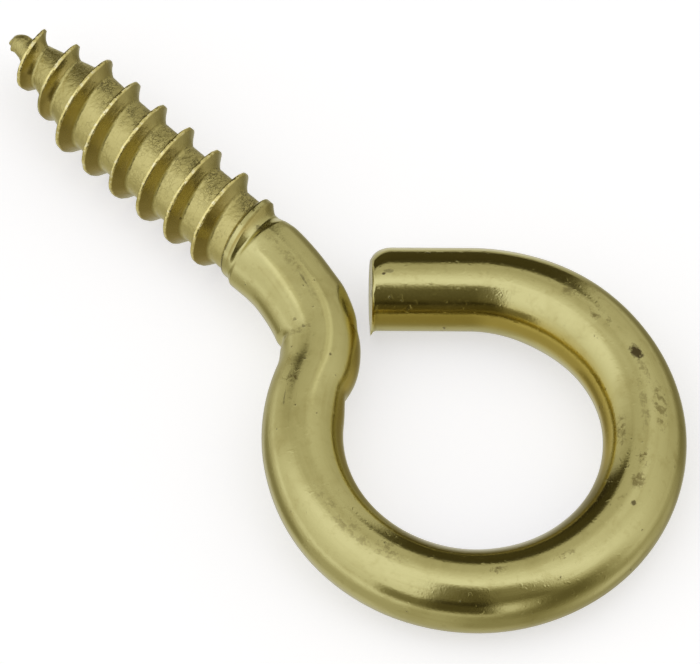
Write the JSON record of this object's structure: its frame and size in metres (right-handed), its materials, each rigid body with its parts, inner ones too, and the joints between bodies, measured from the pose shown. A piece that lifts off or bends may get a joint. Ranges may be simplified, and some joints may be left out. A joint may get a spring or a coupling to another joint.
{
  "type": "screw eye",
  "caption": "Open screw eye: a round wire eye with a narrow gap, a kinked neck and a pointed wood-screw thread, all formed from one length of brass wire.",
  "frame": {"origin": "centre of the eye, half way through the wire's thickness", "axes": "+Z along the eye's axis, out of its flat side; +X along the thread from its point towards the eye, parallel to the thread's axis; +Y completes the frame, on the side of the eye's gap"},
  "size_m": [0.042, 0.0208, 0.005],
  "materials": {
    "brass": "bright drawn brass, slightly greenish, lightly tarnished and scuffed"
  },
  "bodies": {
    "root": {"screw_eye": "brass"}
  },
  "joints": []
}
